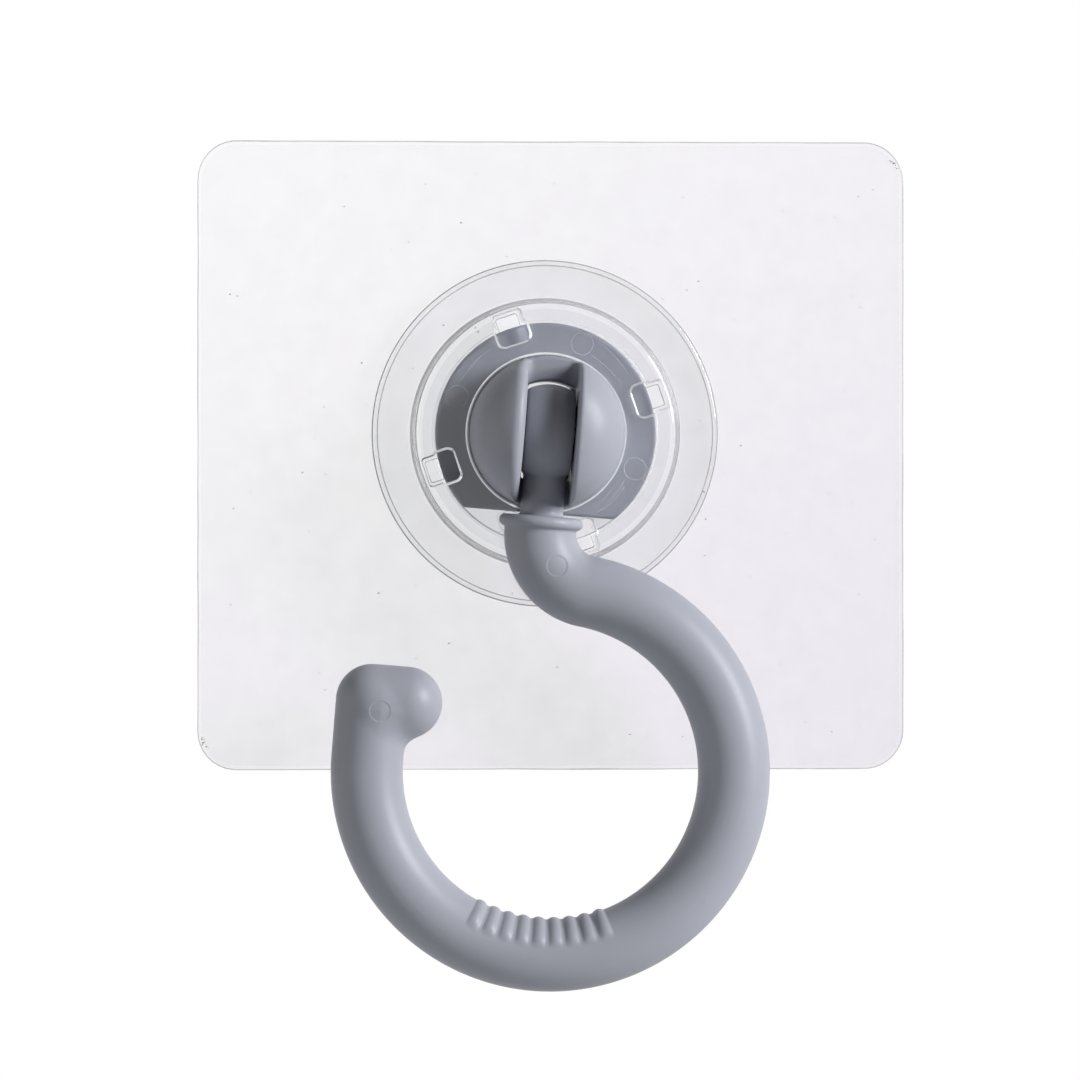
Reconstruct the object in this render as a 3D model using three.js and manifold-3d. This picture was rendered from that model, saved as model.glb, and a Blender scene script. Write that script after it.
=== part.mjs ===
// Adhesive swivel hook. Millimetres, +Z up, front towards -Y, back of the adhesive on the plane Y = 0.
import * as THREE from 'three';
import { mergeVertices } from 'three/addons/utils/BufferGeometryUtils.js';
import Module from 'manifold-3d';

const wasm = await Module();
wasm.setup();

// Clearances
const RUNNING_GAP = 0.35;
const FIT_GAP = 0.3;

// Patch: adhesive and film
const PATCH_WIDTH = 90;
const PATCH_HEIGHT = 80;
const PATCH_CORNER = 5;
const ADHESIVE_THICK = 0.3;
const FILM_THICK = 0.5;

// Bond between film and housing
const BOND_THICK = 0.15;
const BOND_INNER_R = 17.4;
const BOND_EDGE_INSET = 0.4;

// Where the swivel axis stands on the patch, and how far the turret is turned
const AXIS_X = -0.9;
const AXIS_Z = 2.78;
const TURRET_TURN_DEG = 4.6;

// Housing
const FLANGE_R = 22;
const FLANGE_THICK = 1.8;
const FLANGE_EDGE = 0.5;
const BOSS_R = 16.85;
const BOSS_DRAFT = 0.25;
const BOSS_FILLET = 0.9;
const TOP_THICK = 1.4;
const LIP_EDGE = 0.25;

// Snap windows and tongues
const WINDOW_COUNT = 4;
const WINDOW_FIRST_DEG = 18.6;
const WINDOW_INNER_R = 11.9;
const WINDOW_WIDTH = 4;
const WINDOW_CORNER = 0.8;
const CELL_OUTER_R = 16;
const CELL_CORNER = 0.2;
const TONGUE_WIDTH = 2.9;
const TONGUE_THICK = 0.5;
const LEDGE_THICK = 0.4;
const PLATE_THICK = 1.2;

// Turret
const TURRET_R = 9.65;
const TURRET_FLANGE_R = 14;
const TURRET_FLANGE_THICK = 1.4;
const TURRET_FLAT = 10.2;
const CHEEK_OVER_EYE = 4;
const SLOT_WIDTH = 6.5;
const WELL_LEDGE = 0.5;

// Pin
const PIN_R = 1.5;
const PIN_LENGTH = 10;
const PIN_CHAMFER = 0.3;

// Hook
const EYE_R = 6;
const COLLAR_R = 5.15;
const COLLAR_THICK = 1.5;
const COLLAR_DROP = 11.32;
const TUBE_R = 4.52;
const BEND_START = 12.3;
const RING_R = 23.04;
const RING_X = 3.72;
const RING_DROP = 42.42;
const LIMB_RISE = 7.29;
const NUB_LENGTH = 4.3;

// Grip ribs
const RIB_COUNT = 9;
const RIB_PITCH_DEG = 5.9;
const RIB_WRAP_DEG = 74;
const RIB_R = 0.65;
const RIB_HEIGHT = 0.45;

// Facets
const ROUND_STEPS = 56;
const TUBE_SIDES = 20;
const TUBE_STEPS = 58;

// Depths from the wall, stacked one on the next
const filmBack = ADHESIVE_THICK;
const filmFront = filmBack + FILM_THICK;
const housingBack = filmFront + BOND_THICK;
const flangeFront = housingBack + FLANGE_THICK;
const plateFront = housingBack + PLATE_THICK;
const turretBack = plateFront + RUNNING_GAP;
const turretFlangeFront = turretBack + TURRET_FLANGE_THICK;
const topBack = turretFlangeFront + RUNNING_GAP;
const topFront = topBack + TOP_THICK;
const pinDepth = topFront + RUNNING_GAP + COLLAR_R;
const neckR = SLOT_WIDTH / 2 - RUNNING_GAP;
const slotFloor = pinDepth - neckR - RUNNING_GAP;
const domeCentre = pinDepth + EYE_R + CHEEK_OVER_EYE - TURRET_R;

// Radii and widths that follow from a fit
const openingR = TURRET_R + RUNNING_GAP;
const cavityR = TURRET_FLANGE_R + RUNNING_GAP;
const plateR = cavityR - FIT_GAP;
const cellWidth = TONGUE_WIDTH + 2 * FIT_GAP;
const ledgeFront = housingBack + LEDGE_THICK;
const pocketR = EYE_R + RUNNING_GAP;
const eyeWidth = SLOT_WIDTH - 2 * FIT_GAP;
const holeR = PIN_R + FIT_GAP;
const socketSpan = PIN_LENGTH + 2 * FIT_GAP;
const wellWidth = SLOT_WIDTH - 2 * WELL_LEDGE;
const eyeAtLedge = Math.sqrt(EYE_R * EYE_R - (wellWidth * wellWidth) / 4);
const wellFront = pinDepth - eyeAtLedge - RUNNING_GAP;
const tubeFlatR = TUBE_R * Math.cos(Math.PI / TUBE_SIDES);

const turretTurn = THREE.MathUtils.degToRad(TURRET_TURN_DEG);

// Materials
const clearPlastic = new THREE.MeshStandardMaterial({ color: 0xeef0f4, transparent: true, opacity: 0.35 });
const clearFilm = new THREE.MeshStandardMaterial({ color: 0xf0f0f5, transparent: true, opacity: 0.5 });
const clearAdhesive = new THREE.MeshStandardMaterial({ color: 0xf2f2f2, transparent: true, opacity: 0.5 });
const greyPlastic = new THREE.MeshStandardMaterial({ color: 0x969aa3, roughness: 0.45 });
const steel = new THREE.MeshStandardMaterial({ color: 0xb9bcc0, metalness: 1, roughness: 0.3 });

// Closed solid from a three.js geometry
function solid(geometry) {
  geometry.deleteAttribute('normal');
  geometry.deleteAttribute('uv');
  const merged = mergeVertices(geometry, 1e-4);
  const mesh = new wasm.Mesh({
    numProp: 3,
    vertProperties: new Float32Array(merged.attributes.position.array),
    triVerts: new Uint32Array(merged.index.array),
  });
  return new wasm.Manifold(mesh);
}

// Named mesh from a closed solid
function piece(name, body, material) {
  const cut = body.getMesh();
  const geometry = new THREE.BufferGeometry();
  geometry.setAttribute('position', new THREE.BufferAttribute(new Float32Array(cut.vertProperties), 3));
  geometry.setIndex(new THREE.BufferAttribute(new Uint32Array(cut.triVerts), 1));
  geometry.computeVertexNormals();
  const mesh = new THREE.Mesh(geometry, material);
  mesh.name = name;
  return mesh;
}

// Outline drawn seen from the front (x right, y up), raised from one depth to another
function plate(shape, back, front, curveSegments) {
  const settings = { depth: front - back, bevelEnabled: false, curveSegments };
  const geometry = new THREE.ExtrudeGeometry(shape, settings);
  geometry.translate(0, 0, back);
  const frontToRow = new THREE.Matrix4().set(1, 0, 0, 0, 0, 0, -1, 0, 0, 1, 0, 0, 0, 0, 0, 1);
  geometry.applyMatrix4(frontToRow);
  return solid(geometry);
}

// Profile of [radius, depth] pairs turned about the swivel axis
function turned(profile, steps) {
  const points = profile.map(([radius, depth]) => new THREE.Vector2(radius, depth));
  const geometry = new THREE.LatheGeometry(points, steps);
  const depthToRow = new THREE.Matrix4().set(1, 0, 0, 0, 0, -1, 0, 0, 0, 0, -1, 0, 0, 0, 0, 1);
  geometry.applyMatrix4(depthToRow);
  return solid(geometry);
}

// Quarter round in a profile, from one angle to another in degrees
function round(profile, radius, depth, size, fromDeg, toDeg, count) {
  for (let i = 0; i <= count; i += 1) {
    const angle = THREE.MathUtils.degToRad(fromDeg + ((toDeg - fromDeg) * i) / count);
    profile.push([radius + size * Math.cos(angle), depth + size * Math.sin(angle)]);
  }
}

function box(width, depth, height, x, y, z) {
  const geometry = new THREE.BoxGeometry(width, depth, height);
  geometry.translate(x, y, z);
  return solid(geometry);
}

function ball(radius, x, z, across, down) {
  const geometry = new THREE.SphereGeometry(radius, across, down);
  geometry.translate(x, 0, z);
  return solid(geometry);
}

// Cylinder along X through the pin axis
function bar(radius, length, depth, sides) {
  const geometry = new THREE.CylinderGeometry(radius, radius, length, sides);
  geometry.rotateZ(Math.PI / 2);
  geometry.translate(0, -depth, 0);
  return solid(geometry);
}

function roundedRect(width, height, corner, x, y) {
  const left = x - width / 2;
  const right = x + width / 2;
  const low = y - height / 2;
  const high = y + height / 2;
  const shape = new THREE.Shape();
  shape.moveTo(left + corner, low);
  shape.lineTo(right - corner, low);
  shape.absarc(right - corner, low + corner, corner, -Math.PI / 2, 0, false);
  shape.lineTo(right, high - corner);
  shape.absarc(right - corner, high - corner, corner, 0, Math.PI / 2, false);
  shape.lineTo(left + corner, high);
  shape.absarc(left + corner, high - corner, corner, Math.PI / 2, Math.PI, false);
  shape.lineTo(left, low + corner);
  shape.absarc(left + corner, low + corner, corner, Math.PI, Math.PI * 1.5, false);
  return shape;
}

// Copies of a solid turned round the swivel axis to each snap window
function atWindows(body) {
  const copies = [];
  for (let i = 0; i < WINDOW_COUNT; i += 1) {
    const angle = WINDOW_FIRST_DEG + (360 / WINDOW_COUNT) * i;
    copies.push(body.rotate([0, -angle, 0]));
  }
  return wasm.Manifold.union(copies);
}

// Arc in the plane of two unit vectors
class Arc extends THREE.Curve {
  constructor(centre, axisU, axisV, radius, fromAngle, toAngle) {
    super();
    this.centre = centre;
    this.axisU = axisU;
    this.axisV = axisV;
    this.radius = radius;
    this.fromAngle = fromAngle;
    this.toAngle = toAngle;
  }

  getPoint(t, target = new THREE.Vector3()) {
    const angle = this.fromAngle + (this.toAngle - this.fromAngle) * t;
    target.copy(this.centre);
    target.addScaledVector(this.axisU, this.radius * Math.cos(angle));
    target.addScaledVector(this.axisV, this.radius * Math.sin(angle));
    return target;
  }
}

// Round section swept along a path
function swept(path, radius, sides, steps) {
  const outline = [];
  for (let i = 0; i < sides; i += 1) {
    const angle = (2 * Math.PI * i) / sides;
    outline.push(new THREE.Vector2(radius * Math.cos(angle), radius * Math.sin(angle)));
  }
  const section = new THREE.Shape(outline);
  return solid(new THREE.ExtrudeGeometry(section, { steps, extrudePath: path }));
}

// Patch
function makeSheet(back, front) {
  return plate(roundedRect(PATCH_WIDTH, PATCH_HEIGHT, PATCH_CORNER, 0, 0), back, front, 10);
}

function makeBondRing() {
  const outerR = FLANGE_R - BOND_EDGE_INSET;
  const profile = [
    [BOND_INNER_R, filmFront],
    [outerR, filmFront],
    [outerR, housingBack],
    [BOND_INNER_R, housingBack],
    [BOND_INNER_R, filmFront],
  ];
  return turned(profile, ROUND_STEPS);
}

// Housing: flange, boss, top plate with a round opening, windows with an outer cell above each ledge
function makeHousing() {
  const bossTopR = BOSS_R - BOSS_DRAFT;
  const profile = [[cavityR, housingBack], [FLANGE_R, housingBack]];
  round(profile, FLANGE_R - FLANGE_EDGE, flangeFront - FLANGE_EDGE, FLANGE_EDGE, 0, 90, 3);
  profile.push([BOSS_R, flangeFront]);
  round(profile, bossTopR - BOSS_FILLET, topFront - BOSS_FILLET, BOSS_FILLET, 0, 90, 4);
  round(profile, openingR + LIP_EDGE, topFront - LIP_EDGE, LIP_EDGE, 90, 180, 2);
  profile.push([openingR, topBack], [cavityR, topBack], [cavityR, housingBack]);
  const body = turned(profile, ROUND_STEPS);

  const windowLength = cavityR + 0.2 - WINDOW_INNER_R;
  const windowX = WINDOW_INNER_R + windowLength / 2;
  const windowShape = roundedRect(windowLength, WINDOW_WIDTH, WINDOW_CORNER, windowX, 0);
  const window = plate(windowShape, topBack - 1, topFront + 1, 4);
  const cellLength = CELL_OUTER_R - cavityR + 0.5;
  const cellX = CELL_OUTER_R - cellLength / 2;
  const cellShape = roundedRect(cellLength, cellWidth, CELL_CORNER, cellX, 0);
  const cell = plate(cellShape, ledgeFront, topFront + 1, 2);
  return body.subtract(atWindows(window.add(cell)));
}

// Back plate: disc with a tongue over each ledge
function makeBackPlate() {
  const profile = [[0, housingBack], [plateR, housingBack], [plateR, plateFront], [0, plateFront]];
  const disc = turned(profile, ROUND_STEPS);
  const tongueEnd = CELL_OUTER_R - FIT_GAP;
  const tongueLength = tongueEnd - plateR + 1;
  const tongueX = tongueEnd - tongueLength / 2;
  const tongueShape = roundedRect(tongueLength, TONGUE_WIDTH, CELL_CORNER, tongueX, 0);
  const tongue = plate(tongueShape, plateFront - TONGUE_THICK, plateFront, 2);
  return disc.add(atWindows(tongue));
}

// Turret: flange with one flat, domed body, slot for the neck, seat and well for the eye, pin sockets
function makeTurret() {
  const profile = [
    [0, turretBack],
    [TURRET_FLANGE_R, turretBack],
    [TURRET_FLANGE_R, turretFlangeFront],
    [TURRET_R, turretFlangeFront],
  ];
  round(profile, 0, domeCentre, TURRET_R, 0, 84, 12);
  profile.push([0, domeCentre + TURRET_R]);
  const body = turned(profile, ROUND_STEPS);

  const reach = 2 * TURRET_FLANGE_R;
  const slotTop = pinDepth + 2 * TURRET_R;
  const slot = box(SLOT_WIDTH, slotTop - slotFloor, reach, 0, -(slotTop + slotFloor) / 2, 0);
  const pocketRound = turned([[0, 0], [pocketR, 0], [pocketR, pinDepth], [0, pinDepth]], ROUND_STEPS);
  const seat = box(SLOT_WIDTH, pinDepth, reach, 0, -wellFront - pinDepth / 2, 0);
  const well = box(wellWidth, 2 * pinDepth, reach, 0, -pinDepth, 0);
  const pocket = pocketRound.intersect(seat.add(well));
  const flatDepth = turretFlangeFront - turretBack;
  const flatMiddle = -(turretFlangeFront + turretBack) / 2;
  const flat = box(reach, flatDepth + 0.5, reach, 0, flatMiddle, -TURRET_FLAT - reach / 2);
  const sockets = bar(holeR, socketSpan, pinDepth, 24);
  return body.subtract(slot).subtract(pocket).subtract(flat).subtract(sockets);
}

function makePin() {
  const half = PIN_LENGTH / 2;
  const points = [
    new THREE.Vector2(0, -half),
    new THREE.Vector2(PIN_R - PIN_CHAMFER, -half),
    new THREE.Vector2(PIN_R, -half + PIN_CHAMFER),
    new THREE.Vector2(PIN_R, half - PIN_CHAMFER),
    new THREE.Vector2(PIN_R - PIN_CHAMFER, half),
    new THREE.Vector2(0, half),
  ];
  const geometry = new THREE.LatheGeometry(points, 24);
  geometry.rotateZ(Math.PI / 2);
  geometry.translate(0, -pinDepth, 0);
  return solid(geometry);
}

// Hook, drawn about its own pin axis: eye, neck and collar
function makeHead() {
  const eye = ball(EYE_R, 0, 0, 30, 20).intersect(box(eyeWidth, 3 * EYE_R, 3 * EYE_R, 0, 0, 0));
  const collarLow = -COLLAR_DROP - COLLAR_THICK / 2;
  const collarHigh = -COLLAR_DROP + COLLAR_THICK / 2;
  const edge = COLLAR_THICK / 2;
  const profile = [[0, collarLow]];
  round(profile, COLLAR_R - edge, -COLLAR_DROP, edge, -90, 90, 6);
  profile.push([neckR, collarHigh], [neckR, -EYE_R / 2], [0, -EYE_R / 2]);
  const points = profile.map(([radius, height]) => new THREE.Vector2(radius, height));
  const shank = new THREE.LatheGeometry(points, 32);
  shank.rotateX(Math.PI / 2);
  return eye.add(solid(shank)).subtract(bar(holeR, 4 * EYE_R, 0, 24));
}

// Grip ribs round the inner side of the bottom of the ring
function makeRibs(ringCentre) {
  const ribs = [];
  const middle = (RIB_COUNT - 1) / 2;
  const wrap = THREE.MathUtils.degToRad(RIB_WRAP_DEG);
  const across = new THREE.Vector3(0, 1, 0);
  for (let i = 0; i < RIB_COUNT; i += 1) {
    const angle = THREE.MathUtils.degToRad(-90 + (i - middle) * RIB_PITCH_DEG);
    const outward = new THREE.Vector3(Math.cos(angle), 0, Math.sin(angle));
    const centre = ringCentre.clone().addScaledVector(outward, RING_R);
    const inward = outward.clone().negate();
    const path = new Arc(centre, inward, across, TUBE_R - RIB_R + RIB_HEIGHT, -wrap, wrap);
    ribs.push(swept(path, RIB_R, 6, 9));
  }
  return wasm.Manifold.union(ribs);
}

// Hook tube: S-bend into the ring, straight limb, corner and nub
function makeHook() {
  const right = new THREE.Vector3(1, 0, 0);
  const up = new THREE.Vector3(0, 0, 1);
  const drop = RING_DROP - BEND_START;
  const bendR = (RING_X * RING_X + drop * drop - RING_R * RING_R) / (2 * (RING_R + RING_X));
  const bendCentre = new THREE.Vector3(bendR, 0, -BEND_START);
  const ringCentre = new THREE.Vector3(RING_X, 0, -RING_DROP);
  const meet = Math.atan2(bendCentre.z - ringCentre.z, bendCentre.x - ringCentre.x);
  const bendStart = new THREE.Vector3(0, 0, -BEND_START);
  const limbFoot = new THREE.Vector3(RING_X - RING_R, 0, -RING_DROP);
  const corner = limbFoot.clone().addScaledVector(up, LIMB_RISE);
  const path = new THREE.CurvePath();
  path.add(new THREE.LineCurve3(new THREE.Vector3(0, 0, -COLLAR_DROP), bendStart));
  path.add(new Arc(bendCentre, right, up, bendR, Math.PI, Math.PI + meet));
  path.add(new Arc(ringCentre, right, up, RING_R, meet, -Math.PI));
  path.add(new THREE.LineCurve3(limbFoot, corner));
  const tube = swept(path, TUBE_R, TUBE_SIDES, TUBE_STEPS);

  const nubEnd = corner.clone().addScaledVector(right, NUB_LENGTH);
  const nub = swept(new THREE.LineCurve3(corner, nubEnd), TUBE_R, TUBE_SIDES, 1);
  const cornerBall = ball(tubeFlatR, corner.x, corner.z, TUBE_SIDES, 12);
  const endBall = ball(tubeFlatR, nubEnd.x, nubEnd.z, TUBE_SIDES, 12);
  const tip = nub.add(cornerBall).add(endBall);
  return makeHead().add(tube).add(tip).add(makeRibs(ringCentre));
}

const onAxis = [AXIS_X, 0, AXIS_Z];
const group = new THREE.Group();
group.name = 'adhesive_swivel_hook';
group.add(piece('adhesive_layer', makeSheet(0, filmBack), clearAdhesive));
group.add(piece('patch_film', makeSheet(filmBack, filmFront), clearFilm));
group.add(piece('bond_ring', makeBondRing().translate(onAxis), clearAdhesive));
group.add(piece('housing', makeHousing().translate(onAxis), clearPlastic));
group.add(piece('back_plate', makeBackPlate().translate(onAxis), clearPlastic));

const swivel = new THREE.Group();
swivel.name = 'swivel';
swivel.position.set(AXIS_X, 0, AXIS_Z);
swivel.rotation.y = turretTurn;
swivel.add(piece('turret', makeTurret(), greyPlastic));
swivel.add(piece('pivot_pin', makePin(), steel));
const hook = piece('hook', makeHook(), greyPlastic);
hook.position.y = -pinDepth;
swivel.add(hook);
group.add(swivel);

export default group;
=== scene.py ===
"""Adhesive swivel hook: clear patch, clear round housing, grey turret and folding grey hook."""
import math

import bmesh
import bpy
import numpy as np
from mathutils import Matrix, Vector


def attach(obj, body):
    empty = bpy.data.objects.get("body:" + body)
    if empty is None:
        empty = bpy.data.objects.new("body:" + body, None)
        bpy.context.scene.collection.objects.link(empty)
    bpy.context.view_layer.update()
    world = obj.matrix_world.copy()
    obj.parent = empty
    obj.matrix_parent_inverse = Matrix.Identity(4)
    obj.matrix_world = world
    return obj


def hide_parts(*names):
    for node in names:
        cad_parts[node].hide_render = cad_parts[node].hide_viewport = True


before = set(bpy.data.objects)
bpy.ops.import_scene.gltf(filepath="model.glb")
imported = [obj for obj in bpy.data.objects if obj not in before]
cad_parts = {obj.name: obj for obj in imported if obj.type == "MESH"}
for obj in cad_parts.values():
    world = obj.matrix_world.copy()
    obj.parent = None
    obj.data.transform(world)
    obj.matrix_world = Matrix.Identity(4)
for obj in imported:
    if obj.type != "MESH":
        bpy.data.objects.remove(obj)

bl_info = {
    "name": "Adhesive Swivel Hook",
    "version": (1, 0, 0),
    "blender": (4, 5, 0),
    "location": "View3D > Sidebar > Swivel Hook",
    "description": "Builds a clear adhesive patch with a swivelling turret and a folding hook",
    "category": "Add Mesh",
}

MM = 0.001
FULL_TURN = 2 * math.pi
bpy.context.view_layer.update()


def length(name, millimetres, description):
    """A size in metres, given in millimetres."""
    return bpy.props.FloatProperty(
        name=name, description=description, default=millimetres * MM, min=0.0, precision=5, unit="LENGTH")


def place(name, millimetres, description):
    """A position in metres, given in millimetres."""
    return bpy.props.FloatProperty(
        name=name, description=description, default=millimetres * MM, precision=5, unit="LENGTH")


def turn(name, degrees, description):
    """An angle given in degrees."""
    return bpy.props.FloatProperty(
        name=name, description=description, default=math.radians(degrees), subtype="ANGLE")


def count(name, number, description, least=0):
    """A number of like things."""
    return bpy.props.IntProperty(name=name, description=description, default=number, min=least)


def tint(name, colour, description):
    """A linear colour."""
    return bpy.props.FloatVectorProperty(
        name=name, description=description, default=colour, size=3, min=0.0, max=1.0, subtype="COLOR")


# Sizes and colours

class PatchSizes(bpy.types.PropertyGroup):
    """Sizes of the adhesive, the film and the bond."""
    width: length("Width", 90, "Width of the patch")
    height: length("Height", 80, "Height of the patch")
    corner: length("Corner", 5, "Corner radius of the patch")
    adhesive: length("Adhesive", 0.3, "Thickness of the adhesive")
    film: length("Film", 0.5, "Thickness of the film")
    edge: length("Edge", 0.12, "Bevel of the film's cut edge")
    inset: length("Inset", 0.45, "How far the adhesive stops short of the film's edge")
    waver: length("Waver", 0.08, "How far the cut edge wanders")
    bond: length("Bond", 0.15, "Thickness of the bond under the housing")
    skin: length("Skin", 0.02, "Gap that keeps touching sheets apart")
    bond_inner: length("Bond inner radius", 17.4, "Inner radius of the bond")
    bond_outer: length("Bond outer radius", 21.6, "Outer radius of the bond")
    specks: count("Specks", 150, "Specks under the film")
    speck: length("Speck", 0.16, "Radius of a large speck")
    scuffs: count("Scuffs", 26, "Scuffs at two corners")


class HousingSizes(bpy.types.PropertyGroup):
    """Sizes of the clear housing and its back plate."""
    axis_x: place("Axis X", -0.9, "Swivel axis, across")
    axis_z: place("Axis Z", 2.78, "Swivel axis, up")
    flange_radius: length("Flange radius", 22, "Radius of the flange")
    flange_thick: length("Flange thickness", 1.8, "Thickness of the flange")
    flange_edge: length("Flange edge", 0.5, "Rounding of the flange's edge")
    boss_radius: length("Boss radius", 16.85, "Radius at the foot of the boss")
    boss_draft: length("Boss draft", 0.25, "Taper of the boss")
    boss_fillet: length("Boss fillet", 0.9, "Rounding of the boss's top edge")
    foot_fillet: length("Foot fillet", 0.3, "Fillet where the boss meets the flange")
    cavity_radius: length("Cavity radius", 14.35, "Radius of the cavity")
    opening_radius: length("Opening radius", 9.78, "Radius of the round opening")
    lip_edge: length("Lip edge", 0.16, "Rounding of the opening's edge")
    top_back: length("Top back", 4.25, "Depth of the top plate's back")
    top_front: length("Top front", 5.65, "Depth of the top plate's front")
    windows: count("Windows", 4, "Snap windows", 1)
    window_first: turn("First window", 18.6, "Angle of the first window")
    window_inner: length("Window inner radius", 11.9, "Inner end of a window")
    window_width: length("Window width", 4, "Width of a window")
    window_corner: length("Window corner", 0.8, "Corner radius of a window")
    rim: length("Window rim", 0.32, "Softened rim of a window")
    cell_outer: length("Cell outer radius", 16, "Outer end of the cell over a ledge")
    cell_width: length("Cell width", 3.5, "Width of the cell over a ledge")
    ledge: length("Ledge", 0.4, "Thickness of a ledge")
    plate_thick: length("Plate thickness", 1.2, "Thickness of the back plate")
    plate_gap: length("Plate gap", 0.3, "Gap round the back plate and its tongues")
    tongue_thick: length("Tongue thickness", 0.5, "Thickness of a tongue")
    mark_radius: length("Mark radius", 1.4, "Radius of an ejector mark on the top plate")
    mark_orbit: length("Mark orbit", 12.15, "Distance of the marks from the axis")
    mark_first: turn("First mark", 68, "Angle of the first mark")
    mark_wire: length("Mark wire", 0.05, "Thickness of a mark's raised line")
    scratches: count("Scratches", 8, "Fine scratches in the top plate")
    scratch_wire: length("Scratch wire", 0.035, "Thickness of a scratch")


class TurretSizes(bpy.types.PropertyGroup):
    """Sizes of the turret and its pin."""
    turned: turn("Turned", 4.6, "How far the turret is turned, clockwise from the front")
    radius: length("Radius", 9.65, "Radius of the dome")
    back: length("Back", 2.5, "Depth of the flange's back")
    flange_radius: length("Flange radius", 14, "Radius of the flange")
    flange_front: length("Flange front", 3.9, "Depth of the flange's front")
    flat: length("Flat", 10.2, "Distance of the flange's flat from the axis")
    dome_centre: length("Dome centre", 11.5, "Depth of the dome's centre")
    dome_height: length("Dome height", 9.3, "Height of the dome over its centre")
    fullness: bpy.props.FloatProperty(
        name="Fullness", description="Shape of the dome: 2 is a ball, more is fuller", default=2.5, min=2.0)
    slot_width: length("Slot width", 6.5, "Width of the slot")
    slot_floor: length("Slot floor", 7.9, "Depth of the slot's floor")
    slot_edge_left: length("Left slot edge", 1.6, "Radius of the slot's left edge")
    slot_edge_right: length("Right slot edge", 0.55, "Radius of the slot's right edge")
    pocket_radius: length("Pocket radius", 6.5, "Radius of the pocket behind the eye")
    well_width: length("Well width", 5.5, "Width of the well that opens to the back")
    seat_back: length("Seat back", 5.47, "Depth of the ledges beside the well")
    pin_depth: length("Pin depth", 11.15, "Depth of the pin's axis")
    pin_radius: length("Pin radius", 1.5, "Radius of the pin")
    pin_length: length("Pin length", 10, "Length of the pin")
    pin_gap: length("Pin gap", 0.3, "Gap round the pin and at its ends")
    cell: length("Facet", 0.2, "Facet size of the mesh")


class HookSizes(bpy.types.PropertyGroup):
    """Sizes of the hook, measured from its pin."""
    eye_radius: length("Eye radius", 6, "Radius of the eye")
    eye_width: length("Eye width", 6.1, "Width across the eye's flat sides")
    neck_radius: length("Neck radius", 2.7, "Radius of the neck")
    collar_radius: length("Collar radius", 5.28, "Radius of the collar")
    collar_thick: length("Collar thickness", 1.5, "Thickness of the collar")
    collar_drop: length("Collar drop", 11.32, "Middle of the collar below the pin")
    tube_radius: length("Tube radius", 4.52, "Radius of the tube")
    bend_start: length("Bend start", 12.3, "Start of the S-bend below the pin")
    ring_radius: length("Ring radius", 23.04, "Radius of the ring's middle line")
    ring_x: place("Ring X", 3.72, "Ring centre, across")
    ring_drop: length("Ring drop", 42.41, "Ring centre below the pin")
    limb_rise: length("Limb rise", 7.2, "Length of the straight limb")
    nub_length: length("Nub length", 4.3, "Length of the nub")
    nub_fillet: length("Nub fillet", 2.0, "Blend inside the nub's corner")
    mark_radius: length("Mark radius", 1.28, "Radius of an ejector mark")
    mark_sink: length("Mark sink", 0.055, "How far an ejector mark is sunk")
    bend_mark: place("Bend mark", 2.25, "Ejector mark on the bend, across")
    bend_mark_drop: length("Bend mark drop", 16.63, "Ejector mark on the bend, below the pin")
    limb_mark: place("Limb mark", -18.3, "Ejector mark at the nub, across")
    limb_mark_drop: length("Limb mark drop", 36.4, "Ejector mark at the nub, below the pin")
    ribs: count("Ribs", 9, "Grip ribs")
    rib_pitch: turn("Rib pitch", 5.8, "Angle from rib to rib")
    rib_wrap: turn("Rib wrap", 71, "How far a rib wraps round the tube, each way")
    rib_width: length("Rib width", 1.5, "Width of a rib at its foot")
    rib_height: length("Rib height", 0.31, "Height of a rib")
    cell: length("Facet", 0.29, "Facet size of the mesh")


class Finishes(bpy.types.PropertyGroup):
    """Colours of the pieces."""
    grey: tint("Grey plastic", (0.335, 0.348, 0.398), "Moulded grey of the turret and hook")
    clear: tint("Clear plastic", (0.93, 0.935, 0.945), "Clear moulding")
    # Painted shade: the top plate's front gets a darker tint than the rest of the clear housing, standing in
    # for the dimmer reflection on that face.
    top: tint("Top plate", (0.77, 0.78, 0.81), "Front of the housing's top plate")
    # Painted shade: shaded_edge is a grey, partly covering colour on the clear housing's edges, standing in
    # for the dark lines that refraction and shade give there.
    shaded_edge: tint("Shaded edge", (0.28, 0.28, 0.30), "Edge of the clear moulding that looks grey")
    # Painted highlight: lit_edge is a near-white colour for the clear housing's rims, standing in for the
    # light they catch and reflect.
    lit_edge: tint("Lit edge", (0.96, 0.965, 0.975), "Edge of the clear moulding that catches light")
    film: tint("Film", (0.46, 0.34, 0.62), "Frosted film")
    cut_edge: tint("Cut edge", (0.33, 0.33, 0.34), "Cut edge of the film and adhesive")
    adhesive: tint("Adhesive", (0.83, 0.83, 0.85), "Clear gel adhesive")
    speck: tint("Speck", (0.30, 0.30, 0.32), "Speck under the film")
    steel: tint("Steel", (0.56, 0.57, 0.59), "Drawn steel pin")


class HookSettings(bpy.types.PropertyGroup):
    """All sizes and colours."""
    patch: bpy.props.PointerProperty(type=PatchSizes)
    housing: bpy.props.PointerProperty(type=HousingSizes)
    turret: bpy.props.PointerProperty(type=TurretSizes)
    hook: bpy.props.PointerProperty(type=HookSizes)
    finish: bpy.props.PointerProperty(type=Finishes)


# Meshes

MERGE = 1e-7
PATCH_POINTS = 360
CORNER_STEPS = 40
WINDOW_CORNER_STEPS = 8


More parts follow.
